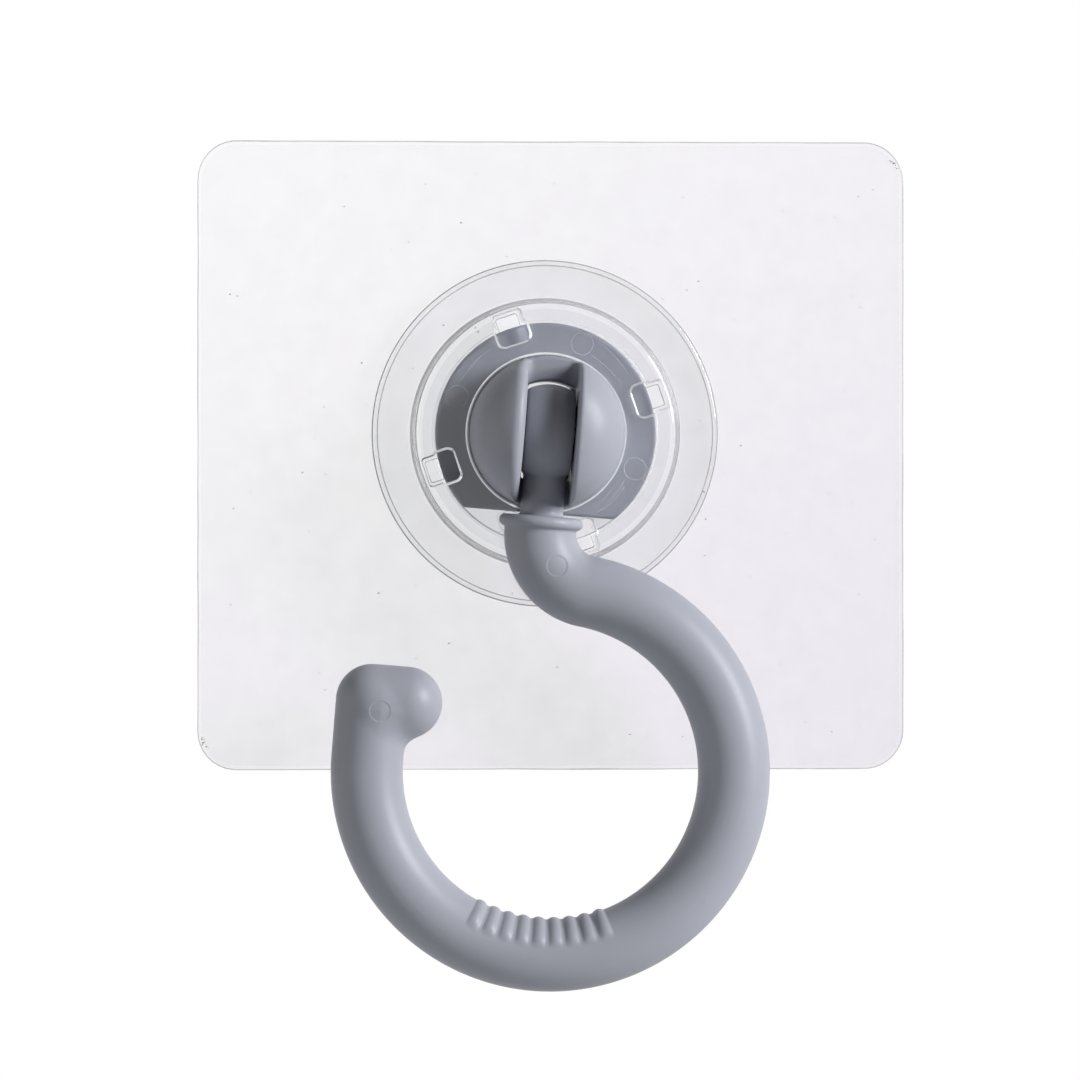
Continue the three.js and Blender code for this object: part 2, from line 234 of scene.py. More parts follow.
def new_piece(name, mesh, look, body, slot, *nodes):
    """An object at the origin that rides on a body and stands for CAD nodes."""
    if not mesh.polygons:
        raise RuntimeError(name + " has no faces")
    mesh.name = name
    piece = new_object(name, mesh)
    if not mesh.materials:
        mesh.materials.append(material_for(look))
    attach(piece, body)
    if nodes:
        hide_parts(*nodes)


def mesh_from_lists(name, points, faces, edges=()):
    """Mesh of points, faces and loose edges."""
    mesh = bpy.data.meshes.new(name)
    mesh.from_pydata([tuple(p) for p in points], list(edges), [tuple(f) for f in faces])
    mesh.update()
    return mesh


def outward(mesh):
    """Merges doubles, turns the faces outwards and shades them smooth."""
    work = bmesh.new()
    work.from_mesh(mesh)
    bmesh.ops.remove_doubles(work, verts=work.verts, dist=MERGE)
    bmesh.ops.recalc_face_normals(work, faces=work.faces)
    work.to_mesh(mesh)
    work.free()
    mesh.shade_smooth()
    return mesh


def crease(mesh, degrees):
    """Keeps edges sharper than an angle crisp."""
    mesh.shade_smooth()
    mesh.set_sharp_from_angle(angle=math.radians(degrees))
    return mesh


def banded(mesh, bands, materials):
    """Gives each face the material of its band."""
    for material in materials:
        mesh.materials.append(material)
    mesh.polygons.foreach_set("material_index", bands)
    return outward(mesh)


def quarter(profile, radius, depth, size, start, end, steps, band=0):
    """Adds a rounded corner to a profile of radius, depth and band."""
    for i in range(steps + 1):
        angle = math.radians(start + (end - start) * i / steps)
        kind = band if i < steps else 0
        profile.append((radius + size * math.cos(angle), depth + size * math.sin(angle), kind))


def round_point(centre, radius, angle, depth):
    """Point at a radius and an angle about an axis that runs to the front."""
    return centre[0] + radius * math.cos(angle), -depth, centre[1] + radius * math.sin(angle)


def lathe(name, profile, centre, materials, steps=192):
    """Turns a profile about the swivel axis; a point's band is the material of the strip after it."""
    points = []
    faces = []
    bands = []
    size = len(profile)
    closed = profile[0][0] > 0.0
    for i in range(steps):
        angle = FULL_TURN * i / steps
        points.extend(round_point(centre, radius, angle, depth) for radius, depth, _ in profile)
    for i in range(steps):
        here = i * size
        there = ((i + 1) % steps) * size
        for j in range(size if closed else size - 1):
            k = (j + 1) % size
            faces.append((here + j, here + k, there + k, there + j))
            bands.append(profile[j][2])
    return banded(mesh_from_lists(name, points, faces), bands, materials)


def rounded_outline(width, height, corner, steps):
    """Points round a rectangle with rounded corners, seen from the front."""
    points = []
    for sign_x, sign_z, first in ((1, 1, 0), (-1, 1, 90), (-1, -1, 180), (1, -1, 270)):
        for i in range(steps + 1):
            angle = math.radians(first + 90 * i / steps)
            points.append((
                sign_x * (width / 2 - corner) + corner * math.cos(angle),
                sign_z * (height / 2 - corner) + corner * math.sin(angle)))
    return points


def patch_outline(p, inset, waver, phase):
    """Evenly spaced points inside the patch's edge, moved in by a slow wave as a cut edge wanders."""
    outline = rounded_outline(p.width - 2 * inset, p.height - 2 * inset, p.corner - inset, CORNER_STEPS)
    ends = np.array(outline + outline[:1])
    run = np.concatenate([[0.0], np.cumsum(np.linalg.norm(np.diff(ends, axis=0), axis=1))])
    at = np.linspace(0.0, run[-1], PATCH_POINTS, endpoint=False)
    moved = []
    for i, (x, z) in enumerate(zip(np.interp(at, run, ends[:, 0]), np.interp(at, run, ends[:, 1]))):
        angle = FULL_TURN * i / PATCH_POINTS
        wave = math.sin(7 * angle + phase) + math.sin(13 * angle + 2 * phase) + math.sin(29 * angle)
        factor = 1.0 - waver * (0.5 + wave / 6.0) / math.hypot(x, z)
        moved.append((x * factor, z * factor))
    return moved


def radial_outline(start, end, width, corner):
    """Rounded rectangle that runs from one radius to another."""
    middle = (start + end) / 2
    return [(middle + x, z) for x, z in rounded_outline(end - start, width, corner, WINDOW_CORNER_STEPS)]


def sheet_mesh(name, loops, materials, front=0):
    """Closed sheet through loops of outline, depth and band; front is the band of the last cap."""
    size = len(loops[0][0])
    points = []
    faces = []
    bands = []
    for outline, depth, _ in loops:
        points.extend((x, -depth, z) for x, z in outline)
    for level in range(len(loops) - 1):
        low = level * size
        high = low + size
        for i in range(size):
            j = (i + 1) % size
            faces.append((low + i, low + j, high + j, high + i))
            bands.append(loops[level][2])
    faces.append(tuple(range(size)))
    faces.append(tuple(range((len(loops) - 1) * size, len(loops) * size)))
    return banded(mesh_from_lists(name, points, faces), bands + [0, front], materials)


def prism(name, outline, levels, angle, centre, materials, front=0):
    """Prism through an outline at levels of depth, swell and band, turned about the axis."""
    middle = np.mean(np.array(outline), axis=0)
    loops = []
    for depth, swell, band in levels:
        loop = []
        for spot in outline:
            away = np.array(spot) - middle
            x, z = np.array(spot) + away / np.linalg.norm(away) * swell
            loop.append((
                centre[0] + x * math.cos(angle) - z * math.sin(angle),
                centre[1] + x * math.sin(angle) + z * math.cos(angle)))
        loops.append((loop, depth, band))
    return sheet_mesh(name, loops, materials, front)


def new_object(name, data):
    """Object in the scene."""
    thing = bpy.data.objects.new(name, data)
    bpy.context.scene.collection.objects.link(thing)
    return thing


def evaluated_mesh(thing):
    """Plain mesh of an object with its modifiers applied."""
    bpy.context.view_layer.update()
    return bpy.data.meshes.new_from_object(thing.evaluated_get(bpy.context.evaluated_depsgraph_get()))


def combine(mesh, tools, operation):
    """Cuts or joins a mesh with others by Blender's exact boolean."""
    target = new_object("target", mesh)
    helpers = [new_object("helper", tool) for tool in tools]
    for helper in helpers:
        modifier = target.modifiers.new("combine", "BOOLEAN")
        modifier.operation = operation
        modifier.solver = "EXACT"
        modifier.material_mode = "TRANSFER"
        modifier.object = helper
    result = evaluated_mesh(target)
    for thing in [target] + helpers:
        bpy.data.objects.remove(thing)
    return result


def refine(mesh, chosen):
    """Splits the faces whose points are all chosen into four."""
    work = bmesh.new()
    work.from_mesh(mesh)
    edges = set()
    for face in work.faces:
        if all(chosen[v.index] for v in face.verts):
            edges.update(face.edges)
    bmesh.ops.subdivide_edges(work, edges=list(edges), cuts=1, use_grid_fill=True)
    bmesh.ops.triangulate(work, faces=[f for f in work.faces if len(f.verts) > 4])
    work.to_mesh(mesh)
    work.free()


def mesh_points(mesh):
    """Array of a mesh's points."""
    flat = np.empty(len(mesh.vertices) * 3)
    mesh.vertices.foreach_get("co", flat)
    return flat.reshape(-1, 3)


def set_points(mesh, points):
    """Moves a mesh's points."""
    mesh.vertices.foreach_set("co", np.ascontiguousarray(points, dtype=np.float32).ravel())
    mesh.update()


def swivel_to_row(points, settings):
    """From across, depth and up in the turned turret to the row frame."""
    angle = settings.turret.turned
    across, depth, up = points.T
    x = settings.housing.axis_x + across * math.cos(angle) + up * math.sin(angle)
    z = settings.housing.axis_z - across * math.sin(angle) + up * math.cos(angle)
    return np.stack([x, -depth, z], axis=1)


# Surfaces from distance fields, for pieces with blended corners

SETTLE_ROUNDS = 5
SLOPE_STEP = 2e-6
LEAST_SLOPE = 0.2
LEAST_MOVE = 1e-12


def soft_max(one, two, blend):
    """Larger of two fields with a rounded seam."""
    mix = np.maximum(blend - np.abs(one - two), 0.0) / blend
    return np.maximum(one, two) + mix * mix * blend * 0.25


def soft_min(one, two, blend):
    """Smaller of two fields with a rounded seam."""
    return -soft_max(-one, -two, blend)


def round_max(one, two, radius):
    """Larger of two fields with an edge rounded to a radius."""
    corner = np.hypot(np.maximum(one + radius, 0.0), np.maximum(two + radius, 0.0))
    return np.minimum(np.maximum(one, two), -radius) + corner


def field_net(field, low, high, cell):
    """Mesh of the zero level of a field: points and four-sided faces."""
    counts = [int(math.ceil((high[i] - low[i]) / cell)) + 1 for i in range(3)]
    lines = [low[i] + cell * np.arange(counts[i]) for i in range(3)]
    values = np.empty(counts)
    second, third = np.meshgrid(lines[1], lines[2], indexing="ij")
    for i in range(counts[0]):
        values[i] = field(np.full_like(second, lines[0][i]), second, third)
    inside = values < 0
    corners = [(i, j, k) for i in (0, 1) for j in (0, 1) for k in (0, 1)]
    filled = np.zeros([n - 1 for n in counts], np.uint8)
    for i, j, k in corners:
        filled += inside[i:counts[0] - 1 + i, j:counts[1] - 1 + j, k:counts[2] - 1 + k]
    cells = np.argwhere((filled > 0) & (filled < 8))
    number = np.full(filled.shape, -1, np.int64)
    number[tuple(cells.T)] = np.arange(len(cells))
    total = np.zeros((len(cells), 3))
    hits = np.zeros(len(cells))
    for start in corners:
        for axis in range(3):
            if start[axis]:
                continue
            end = list(start)
            end[axis] = 1
            first = values[tuple((cells + start).T)]
            last = values[tuple((cells + end).T)]
            crossed = (first < 0) != (last < 0)
            share = np.where(crossed, first / np.where(crossed, first - last, 1.0), 0.0)
            spot = np.array(start, float) + share[:, None] * (np.array(end) - np.array(start))
            total += np.where(crossed[:, None], spot, 0.0)
            hits += crossed
    points = np.array(low) + cell * (cells + total / hits[:, None])
    faces = []
    for axis in range(3):
        one = (axis + 1) % 3
        two = (axis + 2) % 3
        ahead = np.roll(inside, -1, axis)
        spots = np.argwhere(inside != ahead)
        spots = spots[(spots[:, axis] < counts[axis] - 1) & (spots[:, one] > 0) & (spots[:, two] > 0)]
        spots = spots[(spots[:, one] < counts[one] - 1) & (spots[:, two] < counts[two] - 1)]
        ring = []
        for back_one, back_two in ((0, 0), (1, 0), (1, 1), (0, 1)):
            shift = np.zeros(3, int)
            shift[one] = back_one
            shift[two] = back_two
            ring.append(number[tuple((spots - shift).T)])
        quads = np.stack(ring, axis=1)
        flip = inside[tuple(spots.T)]
        quads[flip] = quads[flip][:, ::-1]
        faces.append(quads)
    return points, np.concatenate(faces)


def settle(points, field, reach):
    """Moves points onto the zero level of a field."""
    for _ in range(SETTLE_ROUNDS):
        value = field(*points.T)
        slope = np.empty_like(points)
        for axis in range(3):
            ahead = points.copy()
            behind = points.copy()
            ahead[:, axis] += SLOPE_STEP
            behind[:, axis] -= SLOPE_STEP
            slope[:, axis] = (field(*ahead.T) - field(*behind.T)) / (2 * SLOPE_STEP)
        move = slope * (value / np.maximum((slope * slope).sum(1), LEAST_SLOPE))[:, None]
        far = np.linalg.norm(move, axis=1)
        points = points - move * np.minimum(1.0, reach / np.maximum(far, LEAST_MOVE))[:, None]
    return points


def arc_gap(across, up, centre, radius, start, end):
    """Distance in the plane from an arc that runs from start up to end, in radians."""
    right = across - centre[0]
    high = up - centre[1]
    middle = (start + end) / 2
    angle = np.arctan2(high, right) - middle
    angle = np.abs((angle + math.pi) % FULL_TURN - math.pi)
    gap = np.abs(np.hypot(right, high) - radius)
    tips = [np.hypot(right - radius * math.cos(a), high - radius * math.sin(a)) for a in (start, end)]
    return np.where(angle <= (end - start) / 2, gap, np.minimum(tips[0], tips[1]))


def line_gap(across, up, start, end):
    """Distance in the plane from a straight line between two points."""
    run = (end[0] - start[0], end[1] - start[1])
    size = run[0] ** 2 + run[1] ** 2
    share = np.clip(((across - start[0]) * run[0] + (up - start[1]) * run[1]) / size, 0.0, 1.0)
    return np.hypot(across - start[0] - share * run[0], up - start[1] - share * run[1])


def hook_marks(h):
    """Places of the two ejector marks on the front of the hook."""
    return (h.bend_mark, -h.bend_mark_drop), (h.limb_mark, -h.limb_mark_drop)


def hook_field(h, t):
    """Distance field of the hook in across, depth and up."""
    drop = h.ring_drop - h.bend_start
    bend = (h.ring_x ** 2 + drop ** 2 - h.ring_radius ** 2) / (2 * (h.ring_radius + h.ring_x))
    meet = math.atan2(drop, bend - h.ring_x)
    foot = (h.ring_x - h.ring_radius, -h.ring_drop)
    corner = (foot[0], foot[1] + h.limb_rise)
    nub_end = (corner[0] + h.nub_length, corner[1])
    half_collar = h.collar_thick / 2
    mark_edge = 0.15 * MM
    eye_edge = 0.3 * MM
    eye_blend = 0.25 * MM
    collar_blend = 0.5 * MM
    tube_blend = 0.12 * MM
    hole_edge = 0.2 * MM
    fillet_lead = 0.75
    least_blend = 1e-7

    def field(across, depth, up):
        out = depth - t.pin_depth
        gaps = [
            line_gap(across, up, (0.0, -h.collar_drop), (0.0, -h.bend_start)),
            arc_gap(across, up, (bend, -h.bend_start), bend, math.pi, math.pi + meet),
            arc_gap(across, up, (h.ring_x, -h.ring_drop), h.ring_radius, -math.pi, meet),
            line_gap(across, up, foot, corner)]
        tube = np.hypot(np.minimum.reduce(gaps), out) - h.tube_radius
        nub = np.hypot(line_gap(across, up, corner, nub_end), out) - h.tube_radius
        inward = np.clip(fillet_lead + (across - corner[0]) / h.tube_radius, 0.0, 1.0)
        downward = np.clip(fillet_lead + (corner[1] - up) / h.tube_radius, 0.0, 1.0)
        tube = soft_min(tube, nub, np.maximum(h.nub_fillet * inward * downward, least_blend))
        tube = np.maximum(tube, up + h.collar_drop)
        for spot in hook_marks(h):
            edge = h.mark_radius - np.hypot(across - spot[0], up - spot[1])
            share = np.where(out > 0, np.clip(edge / mark_edge + 0.5, 0.0, 1.0), 0.0)
            tube = tube + h.mark_sink * (share * share * (3.0 - 2.0 * share))
        radius = np.hypot(across, out)
        below = up + h.collar_drop
        collar = np.hypot(np.maximum(radius - h.collar_radius + half_collar, 0.0), below) - half_collar
        neck = np.maximum(radius - h.neck_radius, np.abs(up + h.collar_drop / 2) - h.collar_drop / 2)
        eye = np.sqrt(across ** 2 + out ** 2 + up ** 2) - h.eye_radius
        eye = soft_max(eye, np.abs(across) - h.eye_width / 2, eye_edge)
        head = soft_min(soft_min(eye, neck, eye_blend), collar, collar_blend)
        hole = np.hypot(out, up) - t.pin_radius - t.pin_gap
        return soft_max(soft_min(head, tube, tube_blend), -hole, hole_edge)

    return field


def turret_field(t):
    """Distance field of the turret in across, depth and up."""
    half_slot = t.slot_width / 2
    flange_middle = (t.back + t.flange_front) / 2
    flange_half = (t.flange_front - t.back) / 2
    flat_edge = 0.2 * MM
    flange_edge = 0.45 * MM
    dome_blend = 0.35 * MM
    floor_corner = 1.2 * MM
    pocket_edge = 0.3 * MM
    socket_edge = 0.25 * MM
    low_edge = 0.3

    def field(across, depth, up):
        radius = np.hypot(across, up)
        flange = soft_max(radius - t.flange_radius, -t.flat - up, flat_edge)
        flange = soft_max(flange, np.abs(depth - flange_middle) - flange_half, flange_edge)
        tall = np.maximum(depth - t.dome_centre, 0.0) * (t.radius / t.dome_height)
        dome = (radius ** t.fullness + tall ** t.fullness) ** (1.0 / t.fullness) - t.radius
        body = soft_min(np.maximum(dome, t.back - depth), flange, dome_blend)
        slot = soft_max(np.abs(across) - half_slot, t.slot_floor - depth, floor_corner)
        seat = np.maximum(np.abs(across) - half_slot, t.seat_back - depth)
        pocket = np.minimum(seat, np.abs(across) - t.well_width / 2)
        pocket = soft_max(pocket, radius - t.pocket_radius, pocket_edge)
        pocket = np.maximum(pocket, depth - t.pin_depth)
        share = np.clip(across / t.slot_width + 0.5, 0.0, 1.0)
        edge = t.slot_edge_left + (t.slot_edge_right - t.slot_edge_left) * share
        edge = edge * np.clip((depth - t.dome_centre) / (t.dome_height / 2), low_edge, 1.0)
        body = soft_max(round_max(body, -slot, edge), -pocket, pocket_edge)
        socket = np.hypot(depth - t.pin_depth, up) - t.pin_radius - t.pin_gap
        socket = np.maximum(socket, np.abs(across) - t.pin_length / 2 - t.pin_gap)
        return soft_max(body, -socket, socket_edge)

    return field


# Nodes

def feed(tree, node, inputs):
    """Links an input whose value is a socket and sets any other."""
    for key, value in inputs.items():
        if isinstance(value, bpy.types.NodeSocket):
            tree.links.new(value, node.inputs[key])
        else:
            node.inputs[key].default_value = value


def add_node(tree, kind, inputs=None, **settings):
    """Adds a node with its settings and inputs."""
    node = tree.nodes.new(kind)
    for key, value in settings.items():
        setattr(node, key, value)
    feed(tree, node, inputs or {})
    return node


def math_node(tree, operation, *values):
    """Result of a sum on numbers and sockets."""
    return add_node(tree, "ShaderNodeMath", dict(enumerate(values)), operation=operation).outputs[0]


def ramp_node(tree, value, low, high):
    """Smooth step from 0 at low to 1 at high."""
    ends = {"Value": value, "From Min": low, "From Max": high}
    return add_node(tree, "ShaderNodeMapRange", ends, interpolation_type="SMOOTHSTEP").outputs["Result"]


def add_sockets(tree, way, kind, labels):
    """Adds inputs or outputs of one kind to a tree."""
    for label in labels:
        tree.interface.new_socket(label, in_out=way, socket_type="NodeSocket" + kind)


# Geometry Nodes

RIB_ATTRIBUTES = ("rib_turn", "rib_wrap")
RIB_FADE = 0.3
RIB_FADE_PAST = 0.1
SPECK_LEAST = (0.12, 0.12, 0.12)
SPECK_MOST = (1.0, 0.12, 0.6)


def new_tree(name, floats, integers=()):
    """Geometry node tree with a mesh, numbers and a material as inputs; returns it and its inputs."""
    tree = bpy.data.node_groups.new(name, "GeometryNodeTree")
    add_sockets(tree, "INPUT", "Geometry", ["Geometry"])
    add_sockets(tree, "INPUT", "Float", floats)
    add_sockets(tree, "INPUT", "Int", integers)
    add_sockets(tree, "INPUT", "Material", ["Material"])
    add_sockets(tree, "OUTPUT", "Geometry", ["Geometry"])
    return tree, tree.nodes.new("NodeGroupInput").outputs


def finish_tree(tree, given, geometry):
    """Ends a tree in Realize Instances and Set Material."""
    real = add_node(tree, "GeometryNodeRealizeInstances", {"Geometry": geometry})
    paint = add_node(tree, "GeometryNodeSetMaterial", {
        "Geometry": real.outputs["Geometry"], "Material": given["Material"]})
    add_node(tree, "NodeGroupOutput", {"Geometry": paint.outputs["Geometry"]})
    return tree


def run_tree(mesh, tree, look, values):
    """Runs a tree on a mesh and returns the plain mesh that it makes."""
    carrier = new_object("carrier", mesh)
    modifier = carrier.modifiers.new("nodes", "NODES")
    modifier.node_group = tree
    sockets = {item.name: item.identifier for item in tree.interface.items_tree if item.in_out == "INPUT"}
    for label, value in dict(values, Material=material_for(look)).items():
        modifier[sockets[label]] = value
    result = evaluated_mesh(carrier)
    carrier.modifiers.remove(modifier)
    bpy.data.objects.remove(carrier)
    return result


def rib_tree():
    """Raises ribs from the attributes rib_turn and rib_wrap, both in radians."""
    tree, given = new_tree("Grip Ribs", ("Pitch", "Wrap", "Width", "Height", "Inner Radius"), ("Count",))
    read = []
    for label in RIB_ATTRIBUTES:
        node = add_node(tree, "GeometryNodeInputNamedAttribute", {"Name": label}, data_type="FLOAT")
        read.append(node.outputs["Attribute"])

    def times(*values):
        result = values[0]
        for value in values[1:]:
            result = math_node(tree, "MULTIPLY", result, value)
        return result

    phase = math_node(tree, "DIVIDE", read[0], given["Pitch"])
    nearest = math_node(tree, "ROUND", phase)
    offset = math_node(tree, "ABSOLUTE", math_node(tree, "SUBTRACT", phase, nearest))
    distance = times(offset, given["Pitch"], given["Inner Radius"])
    share = math_node(tree, "DIVIDE", distance, times(given["Width"], 0.5))
    crest = math_node(tree, "SUBTRACT", 1.0, math_node(tree, "POWER", share, 2.0))
    crest = math_node(tree, "MAXIMUM", crest, 0.0)
    counted = math_node(tree, "LESS_THAN", math_node(tree, "ABSOLUTE", nearest), times(given["Count"], 0.5))
    wrap_end = math_node(tree, "ADD", given["Wrap"], RIB_FADE_PAST)
    wrapped = ramp_node(tree, read[1], wrap_end, math_node(tree, "SUBTRACT", wrap_end, RIB_FADE))
    normal = tree.nodes.new("GeometryNodeInputNormal")
    lift = add_node(tree, "ShaderNodeVectorMath", {
        0: normal.outputs["Normal"], "Scale": times(crest, counted, wrapped, given["Height"])},
        operation="SCALE")
    move = add_node(tree, "GeometryNodeSetPosition", {
        "Geometry": given["Geometry"], "Offset": lift.outputs["Vector"]})
    return finish_tree(tree, given, move.outputs["Geometry"])


def speck_tree():
    """Scatters flat specks over a face."""
    tree, given = new_tree("Trapped Specks", ("Density", "Radius"), ("Seed",))
    scatter = add_node(tree, "GeometryNodeDistributePointsOnFaces", {
        "Mesh": given["Geometry"], "Density": given["Density"], "Seed": given["Seed"]})
    ball = add_node(tree, "GeometryNodeMeshIcoSphere", {"Subdivisions": 2, "Radius": given["Radius"]})
    chance = add_node(tree, "FunctionNodeRandomValue", {
        0: SPECK_LEAST, 1: SPECK_MOST, "Seed": given["Seed"]}, data_type="FLOAT_VECTOR")
    placed = add_node(tree, "GeometryNodeInstanceOnPoints", {
        "Points": scatter.outputs["Points"], "Instance": ball.outputs["Mesh"], "Scale": chance.outputs[0]})
    return finish_tree(tree, given, placed.outputs["Instances"])


def circle(tree, radius, steps):
    """Circle as a curve."""
    node = add_node(tree, "GeometryNodeCurvePrimitiveCircle", {"Resolution": steps, "Radius": radius})
    return node.outputs["Curve"]


def mark_tree():
    """Rings that face the front, one on each point of the carrier."""
    tree, given = new_tree("Ejector Marks", ("Radius", "Wire"))
    tube = add_node(tree, "GeometryNodeCurveToMesh", {
        "Curve": circle(tree, given["Radius"], 64), "Profile Curve": circle(tree, given["Wire"], 10)})
    placed = add_node(tree, "GeometryNodeInstanceOnPoints", {
        "Points": given["Geometry"], "Instance": tube.outputs["Mesh"], "Rotation": (math.pi / 2, 0.0, 0.0)})
    return finish_tree(tree, given, placed.outputs["Instances"])


def scratch_tree():
    """Fine wires along the edges of the carrier."""
    tree, given = new_tree("Scratches", ("Wire",))
    path = add_node(tree, "GeometryNodeMeshToCurve", {"Mesh": given["Geometry"]})
    tube = add_node(tree, "GeometryNodeCurveToMesh", {
        "Curve": path.outputs["Curve"], "Profile Curve": circle(tree, given["Wire"], 6), "Fill Caps": True})
    return finish_tree(tree, given, tube.outputs["Mesh"])


# Materials

BUMP_DEPTH = 0.02 * MM
NOISE_LOW = 0.3
NOISE_HIGH = 0.7
NOISE_ROUGHNESS = 0.6
CLEAR_SHADER = {"Transmission Weight": 1.0, "Specular IOR Level": 0.2, "IOR": 1.49}
CLEAR_SHADOW = (0.58, 0.59, 0.61)
# Metallic on clear plastic paints a reflection: the lit edges and the glint faces mirror the white
# background.
PAINTED_REFLECTION_SHADER = {"Metallic": 0.85}

# Each look: name, colour, spread of the tone, scales of grain and cloud, roughness, and what differs
LOOKS = {
    "grey": ("moulded grey plastic", "grey", 0.03, 9000.0, 60.0, (0.36, 0.46), {
        "bump": 0.25, "extra": {"Specular IOR Level": 0.24}}),
    "clear": ("clear moulded plastic", "clear", 0.012, 2500.0, 120.0, (0.02, 0.04), {
        "extra": CLEAR_SHADER, "shadow": CLEAR_SHADOW}),
    # Painted shade: the front of the clear top plate, tinted darker than the rest of the housing.
    "top": ("clear plastic, top plate", "top", 0.012, 2500.0, 120.0, (0.02, 0.04), {
        "extra": CLEAR_SHADER, "shadow": CLEAR_SHADOW}),
    # Painted shade: the film's cover slopes up to the right and towards the bottom, so the patch is darker
    # there.
    "film": ("frosted film", "film", 0.012, 5000.0, 260.0, (0.3, 0.4), {
        "bump": 0.004, "cover": (0.081, 0.095), "painted_light_slope": (0.5, -0.8)}),
    "adhesive": ("gel adhesive", "adhesive", 0.01, 1500.0, 180.0, (0.2, 0.3), {
        "bump": 0.05, "cover": (0.025, 0.04)}),
    # Painted shade: dark lines on the flange edge, the boss foot and the boss fillet of the clear housing.
    "shaded_edge": ("clear plastic, shaded edge", "shaded_edge", 0.06, 3000.0, 90.0, (0.1, 0.2), {
        "cover": (0.55, 0.72)}),
    # Painted highlight on the lip, the window and cell rims and the back plate's rim, painted stronger on the
    # left and fading to the right.
    "lit_edge": ("clear plastic, lit edge", "lit_edge", 0.02, 3000.0, 90.0, (0.1, 0.2), {
        "cover": (0.7, 0.8), "painted_light_slope": (-18.0, 0.0), "extra": PAINTED_REFLECTION_SHADER}),
    # Painted glint: the fronts of the back plate's tongues, white and mirror-like.
    "glint": ("clear plastic, lit face", "lit_edge", 0.02, 3000.0, 90.0, (0.1, 0.2), {
        "cover": (0.25, 0.6), "extra": PAINTED_REFLECTION_SHADER}),
    # Faint white: a painted highlight on the cavity's fillet and on the ejector mark rings, and the own
    # whitish look of the scratches.
    "faint_edge": ("clear plastic, faint edge", "lit_edge", 0.02, 3000.0, 90.0, (0.1, 0.2), {
        "cover": (0.1, 0.4)}),
    "cut_edge": ("cut edge of the patch", "cut_edge", 0.08, 3000.0, 120.0, (0.3, 0.5), {
        "cover": (0.28, 0.48)}),
    "speck": ("speck", "speck", 0.1, 3000.0, 200.0, (0.5, 0.7), {"extra": {"Alpha": 0.5}}),
    "steel": ("drawn steel", "steel", 0.05, 6000.0, 300.0, (0.22, 0.36), {
        "bump": 0.2, "extra": {"Metallic": 1.0}}),
}
made = {}


def material_for(label):
    """One shared material for each look."""
    if label not in made:
        *look, differs = LOOKS[label]
        made[label] = new_material(*look, **differs)
    return made[label]


def fine_grain():
    """Shader group: tone, roughness and height of a moulded or frosted surface."""
    if "Fine Grain" in bpy.data.node_groups:
        return bpy.data.node_groups["Fine Grain"]
    group = bpy.data.node_groups.new("Fine Grain", "ShaderNodeTree")
    add_sockets(group, "INPUT", "Color", ("Dark", "Light"))
    add_sockets(group, "INPUT", "Float", ("Grain Scale", "Cloud Scale", "Rough Low", "Rough High"))
    add_sockets(group, "OUTPUT", "Color", ("Tone",))
    add_sockets(group, "OUTPUT", "Float", ("Roughness", "Height", "Cloud"))
    given = group.nodes.new("NodeGroupInput").outputs
    spot = group.nodes.new("ShaderNodeTexCoord")
    noises = []
    for label, detail in (("Grain Scale", 2.0), ("Cloud Scale", 5.0)):
        noise = add_node(group, "ShaderNodeTexNoise", {
            "Detail": detail, "Roughness": NOISE_ROUGHNESS, "Vector": spot.outputs["Object"],
            "Scale": given[label]})
        noises.append(noise.outputs["Fac"])
    grain = noises[0]
    cloud = ramp_node(group, noises[1], NOISE_LOW, NOISE_HIGH)
    tone = add_node(group, "ShaderNodeMix", {
        "Factor": cloud, 6: given["Dark"], 7: given["Light"]}, data_type="RGBA")
    rough = add_node(group, "ShaderNodeMapRange", {
        "Value": grain, "From Min": NOISE_LOW, "From Max": NOISE_HIGH,
        "To Min": given["Rough Low"], "To Max": given["Rough High"]})
    add_node(group, "NodeGroupOutput", {
        "Tone": tone.outputs[2], "Roughness": rough.outputs["Result"], "Height": grain, "Cloud": cloud})
    return group


def shaded(colour, factor):
    """Colour times a factor, with full cover."""
    return colour[0] * factor, colour[1] * factor, colour[2] * factor, 1.0


def veil(tree, cloud, cover, painted_light_slope):
    """Cover that wanders with the cloud of the grain, plus a slope across and up that paints light and shade
    onto the cover.
    """
    ends = {"Value": cloud, "To Min": cover[0], "To Max": cover[1]}
    alpha = add_node(tree, "ShaderNodeMapRange", ends).outputs["Result"]
    if any(painted_light_slope):
        spot = tree.nodes.new("ShaderNodeTexCoord")
        parts = add_node(tree, "ShaderNodeSeparateXYZ", {"Vector": spot.outputs["Object"]})
        for axis, slope in zip("XZ", painted_light_slope):
            alpha = math_node(tree, "MULTIPLY_ADD", parts.outputs[axis], slope, alpha)
    return alpha


def mix_shaders(tree, share, one, two, output):
    """Sends a mix of two shaders to an output node."""
    mix = add_node(tree, "ShaderNodeMixShader", {"Fac": share, 1: one, 2: two})
    feed(tree, output, {"Surface": mix.outputs["Shader"]})


